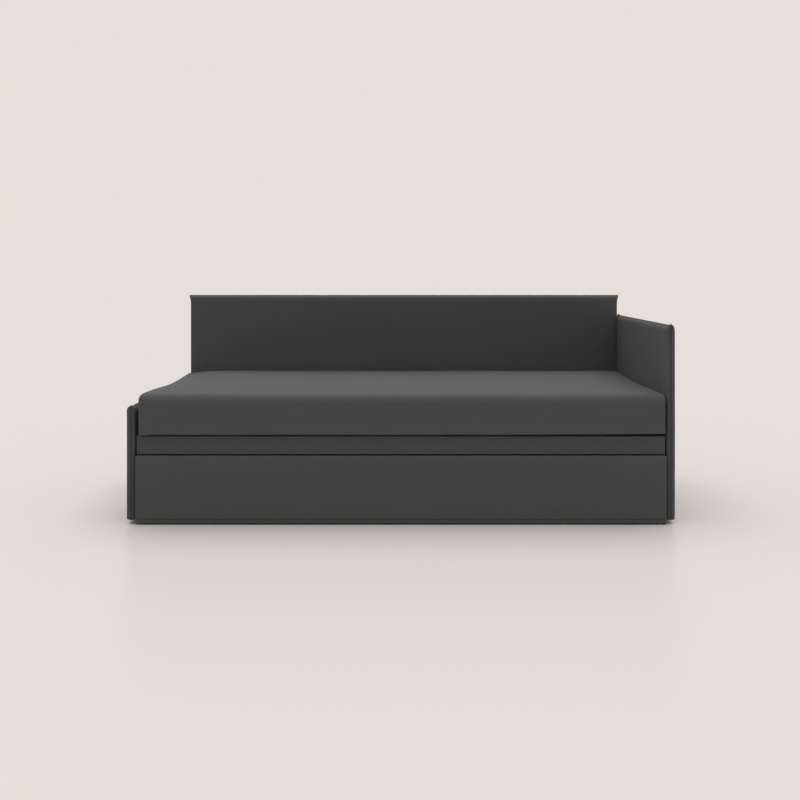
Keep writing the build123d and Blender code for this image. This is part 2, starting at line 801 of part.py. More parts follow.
def slat_set(front_y_low, rear_y_high, base, pitch):
    """Make a bed's slats, each lying in a holder on the front and the rear rail."""
    front_middle = front_y_low + rail_thickness / 2
    rear_middle = rear_y_high - rail_thickness / 2
    holder_wall = (holder_width - slat_width) / 2 - slat_clearance
    slat_length = rear_middle - front_middle + holder_depth - 2 * holder_wall - 2 * slat_clearance
    middle_y = (front_middle + rear_middle) / 2
    slat_base = base + holder_floor + slat_clearance
    with BuildPart() as slats:
        with BuildSketch(Plane.XY.offset(slat_base)):
            with Locations((0, middle_y)):
                with GridLocations(pitch, 0, slat_count, 1):
                    Rectangle(slat_width, slat_length)
        extrude(amount=slat_thickness)
    with BuildPart() as holders:
        with BuildSketch(Plane.XY.offset(base)):
            with Locations((0, middle_y)):
                with GridLocations(pitch, rear_middle - front_middle, slat_count, 2):
                    Rectangle(holder_width, holder_depth)
        extrude(amount=holder_height)
        with BuildSketch(Plane.XY.offset(base + holder_floor)):
            with Locations((0, middle_y)):
                with GridLocations(pitch, 0, slat_count, 1):
                    Rectangle(slat_width + 2 * slat_clearance, slat_length + 2 * slat_clearance)
        extrude(amount=slat_thickness + 2 * slat_clearance, mode=Mode.SUBTRACT)
    return slats, holders


upper_slats, upper_holders = slat_set(strip_rear_y, upper_rear_y, upper_rail_top, upper_slat_pitch)
save(upper_slats, "upper_slats")
save(upper_holders, "upper_slat_holders")

# Border strip of the upper bed, bolted through the front rail
strip_plane = Plane(origin=(0, strip_rear_y, 0), x_dir=(1, 0, 0), z_dir=(0, -1, 0))
strip_low = (-side_inner + strip_end_gap, strip_bottom)
strip_high = (side_inner - strip_end_gap, strip_top)
save(padded_cover(strip_plane, strip_low, strip_high, strip_bolts), "border_strip_cover")
save(padded_board(strip_plane, strip_low, strip_high, strip_bolts), "border_strip_board")
with BuildPart() as strip_bolt_group:
    add(bolts(strip_plane, strip_bolts, rail_thickness, bolt_depth))
save(strip_bolt_group, "border_strip_bolts")


def mattress_section(x, inset, crown, front, rear, bottom, height):
    """Draw a mattress across its width: drawn-in sides between rounded edges."""
    low_y = front + mattress_bulge + inset
    high_y = rear - mattress_bulge - inset
    low_z = bottom + inset
    high_z = bottom + height - inset
    middle_y = (low_y + high_y) / 2
    middle_z = (low_z + high_z) / 2
    top = mattress_corner
    base = mattress_base_corner
    top_bow = top * (1 - math.sqrt(0.5))
    base_bow = base * (1 - math.sqrt(0.5))
    rear_low, rear_high = (high_y, low_z + base), (high_y, high_z - top)
    front_low, front_high = (low_y, low_z + base), (low_y, high_z - top)
    top_rear, top_front = (high_y - top, high_z), (low_y + top, high_z)
    base_rear, base_front = (high_y - base, low_z), (low_y + base, low_z)
    with BuildSketch(Plane.YZ.offset(x)) as section:
        with BuildLine():
            Line(base_front, base_rear)
            ThreePointArc(base_rear, (high_y - base_bow, low_z + base_bow), rear_low)
            ThreePointArc(rear_low, (high_y + mattress_bulge, middle_z), rear_high)
            ThreePointArc(rear_high, (high_y - top_bow, high_z - top_bow), top_rear)
            ThreePointArc(top_rear, (middle_y, high_z + crown), top_front)
            ThreePointArc(top_front, (low_y + top_bow, high_z - top_bow), front_high)
            ThreePointArc(front_high, (low_y - mattress_bulge, middle_z), front_low)
            ThreePointArc(front_low, (low_y + base_bow, low_z + base_bow), base_front)
        make_face()
    return section.sketch


def mattress(left, right, front, rear, bottom, height):
    """Make a mattress with a crown, drawn in at its ends."""
    side_height = height - mattress_crown
    stations = [
        (mattress_corner * place, mattress_end_inset * inset, mattress_crown * crown)
        for place, inset, crown in mattress_end_stations_share
    ]
    stations += [
        ((right - left) * place, 0, mattress_crown * crown)
        for place, crown in mattress_crown_stations_share
    ]
    sections = [
        mattress_section(left + place, inset, crown, front, rear, bottom, side_height)
        for place, inset, crown in stations
    ]
    sections += [
        mattress_section(right - place, inset, crown, front, rear, bottom, side_height)
        for place, inset, crown in reversed(stations)
    ]
    with BuildPart() as body:
        loft(sections, ruled=True)
    return body


upper_mattress = mattress(
    upper_mattress_left_gap - side_inner,
    side_inner - upper_mattress_right_gap,
    side_front_y,
    back_front_y - upper_mattress_back_gap,
    upper_rail_top + holder_height + mattress_gap,
    upper_mattress_height,
)
save(upper_mattress, "upper_mattress")

# Frame of the lower bed
with BuildPart() as lower_front_rail:
    add(rail_along_x(lower_front_y, lower_rail_bottom, lower_rail_height, lower_half_length).part)
    with BuildSketch(Plane.XZ.offset(-lower_front_y)):
        with Locations(panel_bolts):
            Circle(bolt_hole_radius)
    extrude(amount=-rail_thickness, mode=Mode.SUBTRACT)
save(lower_front_rail, "lower_front_rail")
lower_rear_rail_y = lower_rear_y - rail_thickness
lower_inner_front_y = lower_front_y + rail_thickness
save(
    rail_along_x(lower_rear_rail_y, lower_rail_bottom, lower_rail_height, lower_half_length),
    "lower_rear_rail",
)
lower_end_rails = rails_along_y(
    lower_half_length - rail_thickness / 2,
    lower_rail_bottom,
    rail_thickness,
    lower_rail_height,
    lower_inner_front_y,
    lower_rear_rail_y,
)
save(lower_end_rails, "lower_end_rails")
lower_cross_rails = rails_along_y(
    lower_half_length * cross_rail_place_share,
    lower_rail_top - cross_rail_height,
    cross_rail_width,
    cross_rail_height,
    lower_inner_front_y,
    lower_rear_rail_y,
)
save(lower_cross_rails, "lower_cross_rails")
lower_slats, lower_holders = slat_set(lower_front_y, lower_rear_y, lower_rail_top, lower_slat_pitch)
save(lower_slats, "lower_slats")
save(lower_holders, "lower_slat_holders")

# Rubber buffers that stop the lower bed against the back panel when it is pushed in
with BuildPart() as rear_buffers:
    with BuildSketch(back_plane.offset(-running_gap)):
        with Locations([(x, panel_bolts[0][1]) for x in (rest_places[0], rest_places[-1])]):
            Circle(buffer_radius)
    extrude(amount=lower_rear_y + running_gap - back_front_y)
save(rear_buffers, "rear_buffers")

# Front panel of the lower bed, bolted through the front rail and to its braces
panel_plane = Plane(origin=(0, front_panel_rear_y, 0), x_dir=(1, 0, 0), z_dir=(0, -1, 0))
panel_low = (-side_inner + front_panel_end_gap, front_panel_bottom)
panel_high = (side_inner - front_panel_end_gap, front_panel_top)
panel_holes = panel_bolts + brace_bolts
save(padded_cover(panel_plane, panel_low, panel_high, panel_holes), "front_panel_cover")
save(padded_board(panel_plane, panel_low, panel_high, panel_holes), "front_panel_board")
with BuildPart() as panel_braces:
    with BuildSketch(Plane.YZ):
        with Locations((front_panel_rear_y, lower_rail_top)):
            Rectangle(brace_foot, brace_thickness, align=(Align.MIN, Align.MIN))
            Rectangle(brace_thickness, brace_height, align=(Align.MIN, Align.MIN))
    extrude(amount=brace_width / 2, both=True)
    with BuildSketch(panel_plane):
        with Locations([(0, z) for x, z in brace_bolts[: len(brace_bolt_shares)]]):
            Circle(bolt_hole_radius)
    extrude(amount=-brace_thickness, mode=Mode.SUBTRACT)
middle_brace = panel_braces.part
with BuildPart() as placed_braces:
    with Locations((brace_x, 0, 0), (-brace_x, 0, 0)):
        add(middle_brace)
save(placed_braces, "front_panel_braces")
with BuildPart() as panel_bolt_group:
    add(bolts(panel_plane, panel_bolts, rail_thickness, bolt_depth))
    add(bolts(panel_plane, brace_bolts, brace_thickness, bolt_depth))
save(panel_bolt_group, "front_panel_bolts")
lower_mattress_half_length = lower_half_length - lower_mattress_end_gap
lower_mattress = mattress(
    -lower_mattress_half_length,
    lower_mattress_half_length,
    lower_front_y + lower_mattress_front_gap,
    lower_rear_y - lower_mattress_rear_gap,
    lower_rail_top + holder_height + mattress_gap,
    lower_mattress_height,
)
save(lower_mattress, "lower_mattress")

# Fixed castors under the corners of the lower frame
castor_x = lower_half_length - castor_inset
castor_ys = (lower_front_y + castor_inset, lower_rear_y - castor_inset)
castor_places = [(x, y) for x in (-castor_x, castor_x) for y in castor_ys]
ear_x = wheel_hub_width / 2 + fork_ear_gap
with BuildPart() as fork:
    with BuildSketch(Plane.XY.offset(fork_plate_bottom)):
        RectangleRounded(fork_plate_length, fork_plate_length, fork_ear_width / 4)
    extrude(amount=fork_plate)
    with BuildSketch(Plane.YZ.offset(ear_x)):
        with Locations((0, wheel_radius)):
            Circle(fork_ear_width / 2)
            Rectangle(
                fork_ear_width,
                fork_plate_bottom - wheel_radius,
                align=(Align.CENTER, Align.MIN),
            )
            Circle(castor_axle_radius + bush_seat_gap, mode=Mode.SUBTRACT)
    extrude(amount=fork_ear_thickness)
    mirror(about=Plane.YZ)
with BuildPart() as castor_forks:
    with Locations([(x, y, 0) for x, y in castor_places]):
        add(fork.part)
save(castor_forks, "castor_forks")
axle_half = ear_x + fork_ear_thickness
with BuildPart() as axle:
    with BuildSketch(Plane.YZ):
        with Locations((0, wheel_radius)):
            Circle(castor_axle_radius)
    extrude(amount=axle_half, both=True)
    with BuildSketch(Plane.YZ.offset(axle_half)):
        with Locations((0, wheel_radius)):
            Circle(castor_axle_head_radius)
    extrude(amount=castor_axle_head)
    mirror(about=Plane.YZ)
with BuildPart() as castor_axles:
    with Locations([(x, y, 0) for x, y in castor_places]):
        add(axle.part)
save(castor_axles, "castor_axles")

# Wheels: a bevelled tread on a wider hub, bored to run on the axle
with BuildPart() as wheel:
    with BuildSketch(Plane.YZ):
        with Locations((0, wheel_radius)):
            Circle(wheel_radius)
    extrude(amount=wheel_width / 2, both=True)
    chamfer(wheel.edges().filter_by(GeomType.CIRCLE), wheel_bevel)
    with BuildSketch(Plane.YZ):
        with Locations((0, wheel_radius)):
            Circle(wheel_hub_radius)
    extrude(amount=wheel_hub_width / 2, both=True)
    with BuildSketch(Plane.YZ):
        with Locations((0, wheel_radius)):
            Circle(castor_axle_radius + pin_clearance)
    extrude(amount=wheel_hub_width, both=True, mode=Mode.SUBTRACT)
wheel_names = ("wheel_front_left", "wheel_rear_left", "wheel_front_right", "wheel_rear_right")
for place, name in zip(castor_places, wheel_names):
    with BuildPart() as placed_wheel:
        with Locations((place[0], place[1], 0)):
            add(wheel.part)
    save(placed_wheel, name)
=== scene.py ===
"""The looks of a daybed sofa that turns into a bunk bed."""

import json
import math

import bmesh
import bpy
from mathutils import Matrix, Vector, kdtree, noise


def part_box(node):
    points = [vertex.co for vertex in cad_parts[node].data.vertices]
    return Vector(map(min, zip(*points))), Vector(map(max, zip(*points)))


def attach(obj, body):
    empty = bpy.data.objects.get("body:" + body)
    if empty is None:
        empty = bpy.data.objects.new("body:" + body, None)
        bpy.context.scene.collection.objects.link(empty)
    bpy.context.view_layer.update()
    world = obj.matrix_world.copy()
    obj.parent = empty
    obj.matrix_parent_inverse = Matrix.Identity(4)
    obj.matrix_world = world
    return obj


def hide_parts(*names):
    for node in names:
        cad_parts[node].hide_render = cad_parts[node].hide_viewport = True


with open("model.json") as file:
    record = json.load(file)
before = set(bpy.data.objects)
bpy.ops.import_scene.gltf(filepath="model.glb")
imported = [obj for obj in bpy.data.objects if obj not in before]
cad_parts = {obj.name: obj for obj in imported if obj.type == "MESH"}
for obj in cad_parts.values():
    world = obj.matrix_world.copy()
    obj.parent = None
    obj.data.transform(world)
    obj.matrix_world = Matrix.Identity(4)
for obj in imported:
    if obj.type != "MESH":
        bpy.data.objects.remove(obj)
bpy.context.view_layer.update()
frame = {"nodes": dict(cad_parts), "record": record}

# Camera, read from the photograph
IMAGE_SIZE = 800
FRONT_SCALE = 277.0
HORIZON_ROW = 271.5
MIDDLE_COLUMN = 400.9
FRONT_DISTANCE = 3.53
CAMERA_HEIGHT = 0.912
SENSOR = 36.0
PAPER = (0.799, 0.738, 0.694)
SKY_LEVEL = 0.53
LAMP_LEVEL = 0.67
LAMP_TILTS = (math.radians(-6), math.radians(1))
LAMP_SPREAD = math.radians(75)
FLOOR_SIZE = 30.0
FLOOR_FADE = (1.7, 3.2)
FLOOR_ROUGHNESS = 0.3
FLOOR_SHINE = 0.05

# Padded panels, in metres
SEAM_PROUD = 0.003
SEAM_ROOT = 0.005
SEAM_TOP = 0.003
SEAM_SIDE = 0.001
EAR_LENGTH = 0.018
SEAM_THICK = 0.0024
GROOVE_DEPTH = 0.003
GROOVE_WIDTH = 0.0027
PUFF_REACH = 0.02
EDGE_POWER = 2.3
SOLE = 0.0006
GRID_STEP = 0.010
EDGE_STEPS = (0.0, 0.00003, 0.00015, 0.0005, 0.0014, 0.0027, 0.0043, 0.0062, 0.0085, 0.0112, 0.0145, 0.020)
HEM_STEPS = (-0.0022, -0.0011, 0.0, 0.0011, 0.0022)
HEM_DEPTH = 0.0016
HEM_WIDTH = 0.0014
FRONT_HEM = 0.0080
FRONT_DROP = 0.0066
STITCH_PROUD = 0.0004
STITCH_MARGIN = 0.014
OUTER_PUFF = 0.0035
GATHER_REACH = 0.02
GATHER_HEIGHT = 0.0005
WAVE_HEIGHT = 0.0006

# Mattresses, in metres
MATTRESS_PROUD = 0.011
MATTRESS_CROWN = 0.005
REAR_RISE = 0.005
FRONT_LIFT = 0.0045
LEFT_DIP = 0.0155
RIGHT_DIP = 0.005
DIP_MIDDLE = 0.63
UPPER_CORNER = 0.007
UPPER_STEP = 0.009
LOWER_STEP = 0.008
SWELL_VOXEL = 0.02
SWELL_CAP = 0.007
SWELL_SHARES = (0.25, 0.5, 1.0)
SWELL_FRAMES = 20
UPPER_REACHES = ((0.010, 0.007), (0.026, 0.009), (0.018, 0.030), 0.005)
LOWER_REACHES = ((0.018, 0.018), (0.018, 0.018), (0.018, 0.018), 0.010)
LOWER_CORNER = 0.030
LIFT_SHARES = (0.1, 0.3)
QUILT_COUNTS = (12, 5)
QUILT_DEPTH = 0.007
QUILT_FADE = 0.012
QUILT_PROUD = 0.0003
QUILT_MARGIN = 0.030
TAPE_RADIUS = 0.0035
TAPE_INSET = 0.001
TAPE_FROM_TOP = 0.016
TAPE_FROM_BASE = 0.011
PRESS_FADE = 0.04
ROUND_SHARES = (0.0, 0.12, 0.25, 0.4, 0.58, 0.78, 1.0)

# Threads of the cloths, in metres
CHARCOAL_PITCH = 0.0016
TICKING_PITCH = 0.0021


class Field:
    """A number or vector that varies over a surface, for use in sums."""

    def __init__(self, finish, socket):
        self.finish = finish
        self.socket = socket

    def _math(self, operation, first, second=None):
        return self.finish.node("ShaderNodeMath", {"operation": operation}, {0: first, 1: second})

    def __add__(self, other):
        return self._math("ADD", self, other)

    __radd__ = __add__

    def __sub__(self, other):
        return self._math("SUBTRACT", self, other)

    def __rsub__(self, other):
        return self._math("SUBTRACT", other, self)

    def __mul__(self, other):
        return self._math("MULTIPLY", self, other)

    __rmul__ = __mul__

    def sine(self):
        return self._math("SINE", self)

    def size(self):
        return self._math("ABSOLUTE", self)

    def clamp(self):
        return self.finish.node("ShaderNodeClamp", {}, {0: self})


class Finish:
    """One material and the nodes that make it."""

    def __init__(self, name, roughness, metallic=0.0, sheen=0.0, coat=0.0):
        self.material = bpy.data.materials.new(name)
        self.material.use_nodes = True
        self.nodes = self.material.node_tree.nodes
        self.links = self.material.node_tree.links
        self.shader = self.nodes["Principled BSDF"]
        self.shader.inputs["Roughness"].default_value = roughness
        self.shader.inputs["Metallic"].default_value = metallic
        self.shader.inputs["Sheen Weight"].default_value = sheen
        self.shader.inputs["Coat Weight"].default_value = coat

    def node(self, kind, settings, values, output=0):
        """Add a node, with its settings first and its sockets next, and return one output."""
        made = self.nodes.new(kind)
        for key, setting in settings.items():
            setattr(made, key, setting)
        for key, value in values.items():
            if isinstance(value, Field):
                self.links.new(value.socket, made.inputs[key])
            elif value is not None:
                made.inputs[key].default_value = value
        return Field(self, made.outputs[output])

    def feed(self, **fields):
        for name, field in fields.items():
            self.links.new(field.socket, self.shader.inputs[name.replace("_", " ")])

    def colours(self, factor, first, second):
        values = {0: factor, 6: (*first, 1.0), 7: (*second, 1.0)}
        return self.node("ShaderNodeMix", {"data_type": "RGBA"}, values, 2)

    def relief(self, height, strength, distance):
        return self.node("ShaderNodeBump", {}, {"Height": height, "Strength": strength, "Distance": distance})

    def place(self):
        return self.node("ShaderNodeTexCoord", {}, {}, 3)

    def cloth_place(self):
        return self.node("ShaderNodeUVMap", {"uv_map": "cloth"}, {})

    def parts(self, vector):
        across = self.node("ShaderNodeSeparateXYZ", {}, {0: vector})
        return across, Field(self, across.socket.node.outputs[1])

    def cloud(self, vector, scale, detail=2.0, roughness=0.5):
        values = {"Vector": vector, "Scale": scale, "Detail": detail, "Roughness": roughness}
        return self.node("ShaderNodeTexNoise", {}, values)

    def stretched(self, vector, scale):
        return self.node("ShaderNodeMapping", {}, {"Vector": vector, "Scale": scale})


def woven(name, dark, light, pitch, sheen, relief):
    """A plain weave, with warp and weft that pass over each other and slubs in both."""
    finish = Finish(name, 0.9, sheen=sheen)
    finish.shader.inputs["Sheen Roughness"].default_value = 0.3
    place = finish.cloth_place()
    across, along = finish.parts(place)
    turn = 2.0 * math.pi / pitch
    warp = (across * turn).sine().size()
    weft = (along * turn).sine().size()
    over = (across * (turn / 2.0)).sine() * (along * (turn / 2.0)).sine() * 0.5 + 0.5
    threads = warp * over + weft * (1.0 - over)
    slub = finish.cloud(finish.stretched(place, (35.0, 420.0, 1.0)), 1.0, 3.0)
    slub = slub + finish.cloud(finish.stretched(place, (420.0, 35.0, 1.0)), 1.0, 3.0)
    mottle = finish.cloud(finish.place(), 7.0, 4.0, 0.6)
    tone = threads * 0.5 + slub * 0.3 + mottle * 0.4 - 0.25
    grain = finish.relief(threads + slub * 0.5, relief, pitch * 0.35)
    finish.feed(
        Base_Color=finish.colours(tone.clamp(), dark, light),
        Roughness=mottle * 0.1 + 0.85,
        Normal=grain,
    )
    return finish.material


def spun(name, dark, light):
    """Sewing thread with its twist."""
    finish = Finish(name, 0.7, sheen=0.1)
    twist = finish.cloud(finish.place(), 2400.0, 2.0)
    finish.feed(Base_Color=finish.colours(twist, dark, light), Normal=finish.relief(twist, 0.4, 0.0001))
    return finish.material


def powder_coated(name, colour):
    """Fine textured powder coat on steel, rubbed here and there."""
    finish = Finish(name, 0.5)
    grain = finish.cloud(finish.place(), 900.0)
    rub = finish.cloud(finish.place(), 14.0, 5.0, 0.65)
    lighter = tuple(channel * 1.7 for channel in colour)
    finish.feed(
        Base_Color=finish.colours((rub * 1.4 - 0.3).clamp(), colour, lighter),
        Roughness=rub * 0.22 + 0.4,
        Normal=finish.relief(grain, 0.35, 0.0002),
    )
    return finish.material


def plated(name, colour):
    """Bright zinc plate, faintly brushed and bloomed."""
    finish = Finish(name, 0.3, metallic=1.0)
    brushing = finish.cloud(finish.stretched(finish.place(), (900.0, 60.0, 60.0)), 1.0, 3.0)
    bloom = finish.cloud(finish.place(), 40.0, 3.0)
    duller = tuple(channel * 0.7 for channel in colour)
    finish.feed(
        Base_Color=finish.colours(bloom, duller, colour),
        Roughness=brushing * 0.18 + bloom * 0.12 + 0.2,
        Normal=finish.relief(brushing, 0.15, 0.0001),
    )
    return finish.material


def moulded(name, colour, roughness):
    """Moulded nylon or rubber with a fine grain and scuffs."""
    finish = Finish(name, roughness)
    grain = finish.cloud(finish.place(), 700.0, 3.0)
    scuff = finish.cloud(finish.place(), 30.0, 4.0, 0.6)
    lighter = tuple(channel * 1.5 + 0.004 for channel in colour)
    finish.feed(
        Base_Color=finish.colours(scuff, colour, lighter),
        Roughness=scuff * 0.2 + (roughness - 0.1),
        Normal=finish.relief(grain, 0.25, 0.00015),
    )
    return finish.material


def grained(name, dark, light, stretch, lacquer):
    """Straight wood grain along one axis, with pores."""
    finish = Finish(name, 0.5, coat=lacquer)
    figure = finish.cloud(finish.stretched(finish.place(), stretch), 1.0, 5.0, 0.6)
    pores = finish.cloud(finish.stretched(finish.place(), [s * 9.0 for s in stretch]), 1.0, 3.0)
    tone = figure * 1.3 + pores * 0.3 - 0.35
    finish.feed(
        Base_Color=finish.colours(tone.clamp(), dark, light),
        Roughness=pores * 0.25 + 0.38,
        Normal=finish.relief(pores, 0.2, 0.0003),
    )
    return finish.material


CHARCOAL = woven("charcoal_weave", (0.0475, 0.049, 0.0505), (0.0865, 0.089, 0.092), CHARCOAL_PITCH, 0.05, 0.5)
TICKING = woven("mattress_ticking", (0.50, 0.49, 0.47), (0.70, 0.69, 0.66), TICKING_PITCH, 0.1, 0.4)
TAPE = woven("edge_tape", (0.36, 0.35, 0.33), (0.50, 0.49, 0.46), TICKING_PITCH, 0.1, 0.4)
SEWING = spun("charcoal_thread", (0.022, 0.022, 0.023), (0.060, 0.060, 0.062))
PALE_SEWING = spun("pale_thread", (0.42, 0.41, 0.39), (0.62, 0.61, 0.58))
FINISHES = {
    "charcoal_fabric": CHARCOAL,
    "ticking": TICKING,
    "board": grained("raw_plywood", (0.36, 0.25, 0.15), (0.56, 0.42, 0.27), (3.0, 70.0, 70.0), 0.0),
    "beech": grained("laminated_beech", (0.38, 0.235, 0.125), (0.60, 0.42, 0.25), (90.0, 2.5, 90.0), 0.15),
    "black_steel": powder_coated("black_powder_coat", (0.018, 0.018, 0.019)),
    "zinc_steel": plated("zinc_plate", (0.60, 0.61, 0.63)),
    "nylon": moulded("black_nylon", (0.016, 0.016, 0.017), 0.5),
    "rubber": moulded("black_rubber", (0.010, 0.010, 0.010), 0.75),
    "castor_tread": moulded("castor_plastic", (0.05, 0.05, 0.052), 0.45),
}
STAIN_DARK = (0.020, 0.019, 0.019)
STAIN_LIGHT = (0.042, 0.040, 0.038)
OWN_FINISHES = {
    "floor_glides": moulded("natural_nylon", (0.52, 0.50, 0.46), 0.5),
    "corner_batten": grained("stained_batten", STAIN_DARK, STAIN_LIGHT, (70.0, 70.0, 3.0), 0.1),
}
for subpart in frame["record"]["subparts"]:
    node = subpart["node"]
    node_mesh = frame["nodes"][node].data
    node_mesh.materials.clear()
    node_mesh.materials.append(OWN_FINISHES.get(node, FINISHES[subpart["material_slot"]]))


def lay_cloth(mesh):
    """Give a mesh its cloth map: metres along the two axes that each face lies in."""
    layer = mesh.uv_layers.new(name="cloth")
    for polygon in mesh.polygons:
        normal = polygon.normal
        thin = max(range(3), key=lambda axis: abs(normal[axis]))
        first, second = ((1, 2), (0, 2), (0, 1))[thin]
        for corner in polygon.loop_indices:
            point = mesh.vertices[mesh.loops[corner].vertex_index].co
            layer.data[corner].uv = (point[first], point[second])


def stand(name, mesh, material, body):
    """Put a finished mesh in the scene as a piece that moves with its body."""
    mesh.materials.clear()
    mesh.materials.append(material)
    mesh.shade_smooth()
    if "cloth" not in mesh.uv_layers:
        lay_cloth(mesh)
    piece = bpy.data.objects.new(name, mesh)
    bpy.context.scene.collection.objects.link(piece)
    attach(piece, body)
    return piece


def edge_lines(low, high, extra=()):
    """Places of grid lines between two edges, close together near each edge."""
    near = [low + step for step in EDGE_STEPS]
    far = [high - step for step in reversed(EDGE_STEPS)]
    gap = far[0] - near[-1]
    count = max(1, round(gap / GRID_STEP))
    inner = [near[-1] + gap * i / count for i in range(1, count)]
    return sorted(near + inner + far + list(extra))


def soft_edge(distance, reach, power):
    """Share of the full thickness at a distance in from a soft edge."""
    share = min(max(distance / reach, 0.0), 1.0)
    return (1.0 - (1.0 - share) ** power) ** (1.0 / power)


def round_off(a, z, low_a, high_a, top, corner):
    """Move a grid point in to the slightly rounded upper corners."""
    for end, sign in ((low_a, -1.0), (high_a, 1.0)):
        centre_a = end - sign * corner
        centre_z = top - corner
        u = (a - centre_a) * sign / corner
        v = (z - centre_z) / corner
        if u > 0.0 and v > 0.0:
            u, v = u * math.sqrt(1.0 - v * v / 2.0), v * math.sqrt(1.0 - u * u / 2.0)
            return centre_a + sign * u * corner, centre_z + v * corner
    return a, z


def ear(a, z, ends, top, pull):
    """Draw the cloth out to a pointed ear at each upper corner."""
    for end, sign in zip(ends, (-1.0, 1.0)):
        near = math.exp(-((math.hypot(a - end, z - top) / EAR_LENGTH) ** 2))
        a += sign * pull[0] * near
        z += pull[1] * near
    return a, z


def gathers(a, side, z, distance):
    """Small gathers beside a seam, and slow waves of the padding over the board."""
    fade = math.exp(-distance / GATHER_REACH)
    ripple = noise.noise(Vector((a * 55.0, side * 9.0, z * 55.0)))
    wave = noise.noise(Vector((a * 4.5 + 3.0, side * 5.0, z * 4.5)))
    return ripple * GATHER_HEIGHT * fade + wave * WAVE_HEIGHT


def padded_cover(name, length_axis, outer_side, puffs, rounds, pull=None, hem=None, drop=SOLE):
    """The sewn cover of a padded board: two soft faces that meet along the rim.

    puffs are how far the padding swells past the board's cover on the low and the high
    side of the thickness. rounds are the reach of the soft edge at the ends, at the top
    and at the foot, and the radius of the upper corners. pull is how far the ears are
    drawn out, hem the height of a sewn hem, and drop how far the cloth hangs below.
    """
    low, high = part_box(name)
    thick_axis = 1 - length_axis
    proud_low, proud_high, proud_top = outer_side
    end_round, top_round, foot_round, corner = rounds
    low_a = low[length_axis] + proud_low * SEAM_PROUD
    high_a = high[length_axis] - proud_high * SEAM_PROUD
    base, top = low.z - drop, high.z - proud_top * SEAM_PROUD
    middle = (low[thick_axis] + high[thick_axis]) / 2.0
    half = (high[thick_axis] - low[thick_axis]) / 2.0
    hem_lines = [base + hem + step for step in HEM_STEPS] if hem else []
    lines_a = edge_lines(low_a, high_a)
    lines_z = edge_lines(base, top, hem_lines)
    made = bmesh.new()
    rows = {}
    for side, puff in zip((-1, 1), puffs):
        for i, a in enumerate(lines_a):
            for j, z in enumerate(lines_z):
                on_rim = i in (0, len(lines_a) - 1) or j in (0, len(lines_z) - 1)
                if on_rim and side == 1:
                    rows[1, i, j] = rows[-1, i, j]
                    continue
                from_end = min(a - low_a, high_a - a)
                from_rim = min(from_end, top - z, z - base)
                rise = soft_edge(from_end, end_round, EDGE_POWER)
                rise *= soft_edge(top - z, top_round, EDGE_POWER)
                rise *= soft_edge(z - base, foot_round, EDGE_POWER)
                swell = puff * min(from_rim / PUFF_REACH, 1.0) ** 0.6
                if puff > 0.0:
                    swell += gathers(a, side, z, from_rim)
                if hem:
                    swell -= HEM_DEPTH * math.exp(-(((z - base - hem) / HEM_WIDTH) ** 2))
                across = (half + swell) * rise
                moved_a, moved_z = round_off(a, z, low_a, high_a, top, corner)
                if pull:
                    sink = GROOVE_DEPTH * math.exp(-((across / GROOVE_WIDTH) ** 2))
                    if top - z < from_end:
                        moved_z -= sink
                    else:
                        moved_a += sink if a - low_a < high_a - a else -sink
                    moved_a, moved_z = ear(moved_a, moved_z, (low_a, high_a), top, pull)
                place = Vector((0.0, 0.0, moved_z))
                place[length_axis] = moved_a
                place[thick_axis] = middle + side * across
                rows[side, i, j] = made.verts.new(place)
        for i in range(len(lines_a) - 1):
            for j in range(len(lines_z) - 1):
                corners = ((i, j), (i + 1, j), (i + 1, j + 1), (i, j + 1))
                made.faces.new([rows[(side, *spot)] for spot in corners])
    if pull:
        path = seam_path(low_a, high_a, base, top, outer_side)
        add_seam(made, length_axis, middle, path, ((low_a, high_a), top, pull))
    bmesh.ops.recalc_face_normals(made, faces=made.faces)
    mesh = bpy.data.meshes.new(f"{name}_cloth")
    made.to_mesh(mesh)
    made.free()
    return mesh


def seam_path(low_a, high_a, base, top, outer_side):
    """Corners of the seam line, from the foot of the low end round to the foot of the high end."""
    high_foot = base if outer_side[1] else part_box("armrest_cover")[1].z + SOLE
    return [(low_a, base), (low_a, top), (high_a, top), (high_a, high_foot)]


def seam_stations(path):
    """Points along a seam, each with its way out and how far the seam stands out there."""
    stations = []
    last = len(path) - 2
    for k in range(last + 1):
        start, end = Vector(path[k]), Vector(path[k + 1])
        length = (end - start).length
        outward = Vector((-(end - start).y, (end - start).x)).normalized()
        for along in edge_lines(0.0, length):
            if along == 0.0 and k > 0:
                continue
            near = min(along if k > 0 else length, length - along if k < last else length)
            rise = math.exp(-((near / EAR_LENGTH) ** 2))
            reach = SEAM_TOP if k == 1 else SEAM_SIDE + (SEAM_TOP - SEAM_SIDE) * rise
            stations.append([start + (end - start) * (along / length), outward, reach])
        if k < last:
            after = Vector(path[k + 2]) - end
            stations[-1][1] = outward + Vector((-after.y, after.x)).normalized()
    return stations


